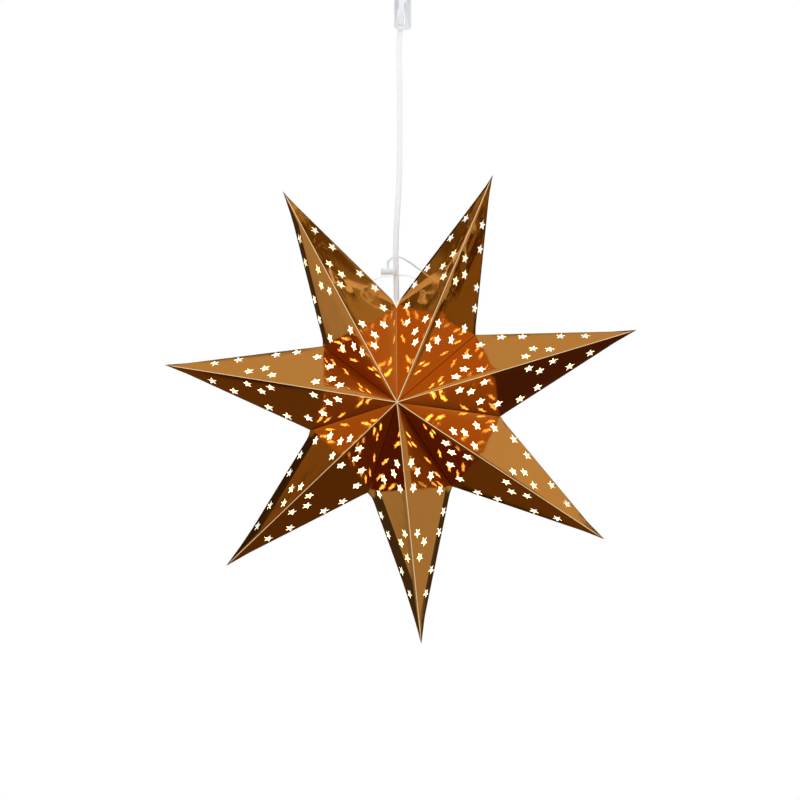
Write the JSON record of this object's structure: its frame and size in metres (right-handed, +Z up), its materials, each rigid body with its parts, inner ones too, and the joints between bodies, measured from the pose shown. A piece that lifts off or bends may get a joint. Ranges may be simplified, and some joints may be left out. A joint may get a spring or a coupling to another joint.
{
  "type": "paper star lantern",
  "caption": "Folded foil-card star lantern with punched stars, lit from inside by a lamp holder and bulb, hanging by its cord from a slotted hanger plate and a ceiling rose.",
  "frame": {"origin": "middle of the ceiling rose's top face, on the plumb line of the hook", "axes": "+Z up into the ceiling, the star's front apex faces -Y, +X to the right seen from the front"},
  "size_m": [0.5094, 0.203, 0.7782],
  "materials": {
    "foil_card": "gold mirror foil face on white card",
    "clear_plastic": "translucent moulded",
    "cord_pvc": "soft gloss PVC",
    "white_plastic": "moulded",
    "zinc_steel": "zinc plated",
    "brass": "plain",
    "ceramic": "glazed",
    "bulb_glass": "frosted white",
    "thread": "twisted cotton"
  },
  "bodies": {
    "rose": {"rose_plate": "white_plastic", "rose_cover": "white_plastic", "ceiling_hook": "zinc_steel", "hook_nut": "zinc_steel", "terminal_block": "ceramic", "terminal_screw_1": "brass", "terminal_screw_2": "brass"},
    "hanger": {"hanger_plate": "clear_plastic", "lamp_cord": "cord_pvc"},
    "star": {"arm_1_front_left": "foil_card", "arm_1_front_right": "foil_card", "arm_1_back_left": "foil_card", "arm_1_back_right": "foil_card", "closing_strap": "white_plastic", "strap_barrel": "white_plastic", "tie_thread": "thread", "holder_cap": "white_plastic", "holder_shell": "white_plastic", "holder_ring": "white_plastic", "holder_insert": "ceramic", "centre_contact": "brass", "screw_sleeve": "brass"},
    "bulb": {"bulb_cap": "brass", "bulb_glass": "bulb_glass"},
    "arm_2": {"arm_2_front_left": "foil_card", "arm_2_front_right": "foil_card", "arm_2_back_left": "foil_card", "arm_2_back_right": "foil_card"},
    "arm_3": {"arm_3_front_left": "foil_card", "arm_3_front_right": "foil_card", "arm_3_back_left": "foil_card", "arm_3_back_right": "foil_card"},
    "arm_4": {"arm_4_front_left": "foil_card", "arm_4_front_right": "foil_card", "arm_4_back_left": "foil_card", "arm_4_back_right": "foil_card"},
    "arm_5": {"arm_5_front_left": "foil_card", "arm_5_front_right": "foil_card", "arm_5_back_left": "foil_card", "arm_5_back_right": "foil_card"},
    "arm_6": {"arm_6_front_left": "foil_card", "arm_6_front_right": "foil_card", "arm_6_back_left": "foil_card", "arm_6_back_right": "foil_card"},
    "arm_7": {"arm_7_front_left": "foil_card", "arm_7_front_right": "foil_card", "arm_7_back_left": "foil_card", "arm_7_back_right": "foil_card"}
  },
  "joints": [
    {"name": "hanger_swing", "type": "hinge", "parent": "rose", "child": "hanger", "pos_m": [0, 0, -0.048], "axis": [0, 1, 0], "range_deg": [-12, 12], "deforming": ["lamp_cord"]},
    {"name": "star_turn", "type": "hinge", "parent": "hanger", "child": "star", "pos_m": [-0.0065, 0, -0.43], "axis": [0, 0, 1], "range_deg": [-180, 180]},
    {"name": "fan_fold", "type": "hinge", "parent": "star", "child": "arm_2", "pos_m": [0.0011, 0, -0.517], "axis": [0, -1, 0], "range_deg": [0, 49], "deforming": ["arm_1_front_left", "arm_1_front_right", "arm_1_back_left", "arm_1_back_right", "arm_2_front_left", "arm_2_front_right", "arm_2_back_left", "arm_2_back_right"]},
    {"name": "fan_fold_3", "type": "hinge", "parent": "arm_2", "child": "arm_3", "pos_m": [0.0011, 0, -0.517], "axis": [0, -1, 0], "range_deg": [0, 49], "deforming": ["arm_3_front_left", "arm_3_front_right", "arm_3_back_left", "arm_3_back_right"]},
    {"name": "fan_fold_4", "type": "hinge", "parent": "arm_3", "child": "arm_4", "pos_m": [0.0011, 0, -0.517], "axis": [0, -1, 0], "range_deg": [0, 49], "deforming": ["arm_4_front_left", "arm_4_front_right", "arm_4_back_left", "arm_4_back_right"]},
    {"name": "fan_fold_5", "type": "hinge", "parent": "arm_4", "child": "arm_5", "pos_m": [0.0011, 0, -0.517], "axis": [0, -1, 0], "range_deg": [0, 49], "deforming": ["arm_5_front_left", "arm_5_front_right", "arm_5_back_left", "arm_5_back_right"]},
    {"name": "fan_fold_6", "type": "hinge", "parent": "arm_5", "child": "arm_6", "pos_m": [0.0011, 0, -0.517], "axis": [0, -1, 0], "range_deg": [0, 49], "deforming": ["arm_6_front_left", "arm_6_front_right", "arm_6_back_left", "arm_6_back_right"]},
    {"name": "fan_fold_7", "type": "hinge", "parent": "arm_6", "child": "arm_7", "pos_m": [0.0011, 0, -0.517], "axis": [0, -1, 0], "range_deg": [0, 49], "deforming": ["arm_7_front_left", "arm_7_front_right", "arm_7_back_left", "arm_7_back_right"]},
    {"name": "bulb_out", "type": "slide", "parent": "star", "child": "bulb", "axis": [0, 0, -1], "range_m": [0, 0.03]}
  ],
  "couplings": [
    {"joint": "fan_fold_3", "follows": "fan_fold", "ratio": 1},
    {"joint": "fan_fold_4", "follows": "fan_fold", "ratio": 1},
    {"joint": "fan_fold_5", "follows": "fan_fold", "ratio": 1},
    {"joint": "fan_fold_6", "follows": "fan_fold", "ratio": 1},
    {"joint": "fan_fold_7", "follows": "fan_fold", "ratio": 1}
  ]
}
